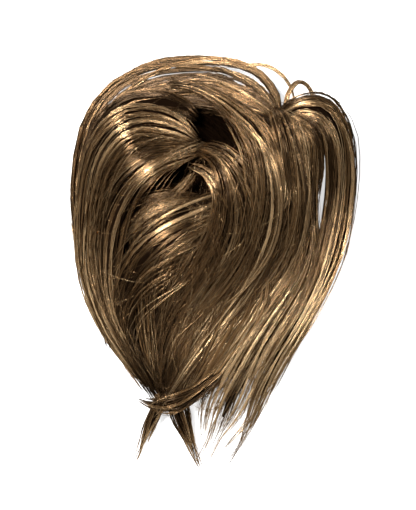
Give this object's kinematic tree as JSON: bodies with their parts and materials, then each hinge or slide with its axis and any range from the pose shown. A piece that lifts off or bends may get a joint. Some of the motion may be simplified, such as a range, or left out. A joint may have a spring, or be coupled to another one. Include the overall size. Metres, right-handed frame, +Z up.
{
  "type": "hairpiece",
  "caption": "Hairpiece of long straight hair on an oval base with a comb, its locks rolled round a whorl and swept down to ragged tips.",
  "frame": {"origin": "middle of the base's flat underside, which lies on the table and, when worn, on the head", "axes": "+Z up out of the base, +Y from the tips to the crown, +X to the right seen from above"},
  "size_m": [0.2032, 0.2893, 0.0603],
  "materials": {
    "hair": "glossy brown synthetic fibre",
    "under_hair": "dark brown synthetic fibre",
    "base": "dark woven net",
    "comb": "dark brown plastic"
  },
  "bodies": {
    "root": {"crown_arc": "hair", "crown_loop": "hair", "tie_band": "hair", "left_roll": "hair", "middle_right_lock": "hair", "lower_left_lock": "hair", "inner_right_lock": "hair", "cinch_side_lock": "hair", "outer_right_lock": "hair", "slit_side_lock": "hair", "inner_fall": "hair", "brow_lock": "hair", "inner_roll": "hair", "crown_sweep_inner": "hair", "crown_sweep_outer": "hair", "tip_right": "hair", "tip_left": "hair", "under_hair": "under_hair", "base": "base", "comb": "comb"}
  },
  "joints": []
}
